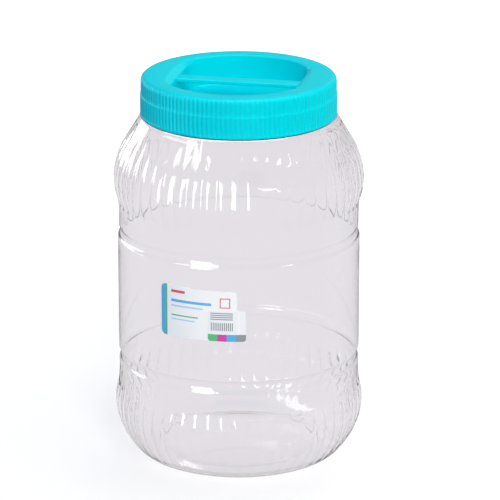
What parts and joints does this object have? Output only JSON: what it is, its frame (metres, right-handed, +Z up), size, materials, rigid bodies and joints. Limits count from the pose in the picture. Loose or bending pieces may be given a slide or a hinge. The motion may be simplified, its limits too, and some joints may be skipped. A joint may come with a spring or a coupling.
{
  "type": "food storage jar",
  "caption": "Clear ribbed food storage jar with a smooth waisted panel, a knurled turquoise screw lid that has a sunk grip bar, a seal ring and two stickers",
  "frame": {"origin": "on the jar's axis at the level that the jar stands on", "axes": "+Z up along the jar's axis, -Y towards the front with the stickers, +X to the right seen from the front"},
  "size_m": [0.147, 0.147, 0.2295],
  "materials": {
    "clear_plastic": "clear gloss",
    "lid_plastic": "satin gloss",
    "bar_plastic": "satin gloss",
    "seal_foam": "matte",
    "label_film": "printed film",
    "info_film": "printed film"
  },
  "bodies": {
    "jar": {"jar": "clear_plastic", "front_label": "label_film", "info_sticker": "info_film"},
    "seal": {"seal_ring": "seal_foam"},
    "lid": {"lid": "lid_plastic", "grip_bar": "bar_plastic"}
  },
  "joints": [
    {"name": "lid_lift", "type": "slide", "parent": "jar", "child": "seal", "axis": [0, 0, 1], "range_m": [0, 0.0301]},
    {"name": "lid_turn", "type": "hinge", "parent": "seal", "child": "lid", "pos_m": [0, 0, 0.2279], "axis": [0, 0, 1], "range_deg": [0, 1080]}
  ],
  "couplings": [
    {"joint": "lid_lift", "follows": "lid_turn", "m_per_rad": 0.0015915}
  ]
}
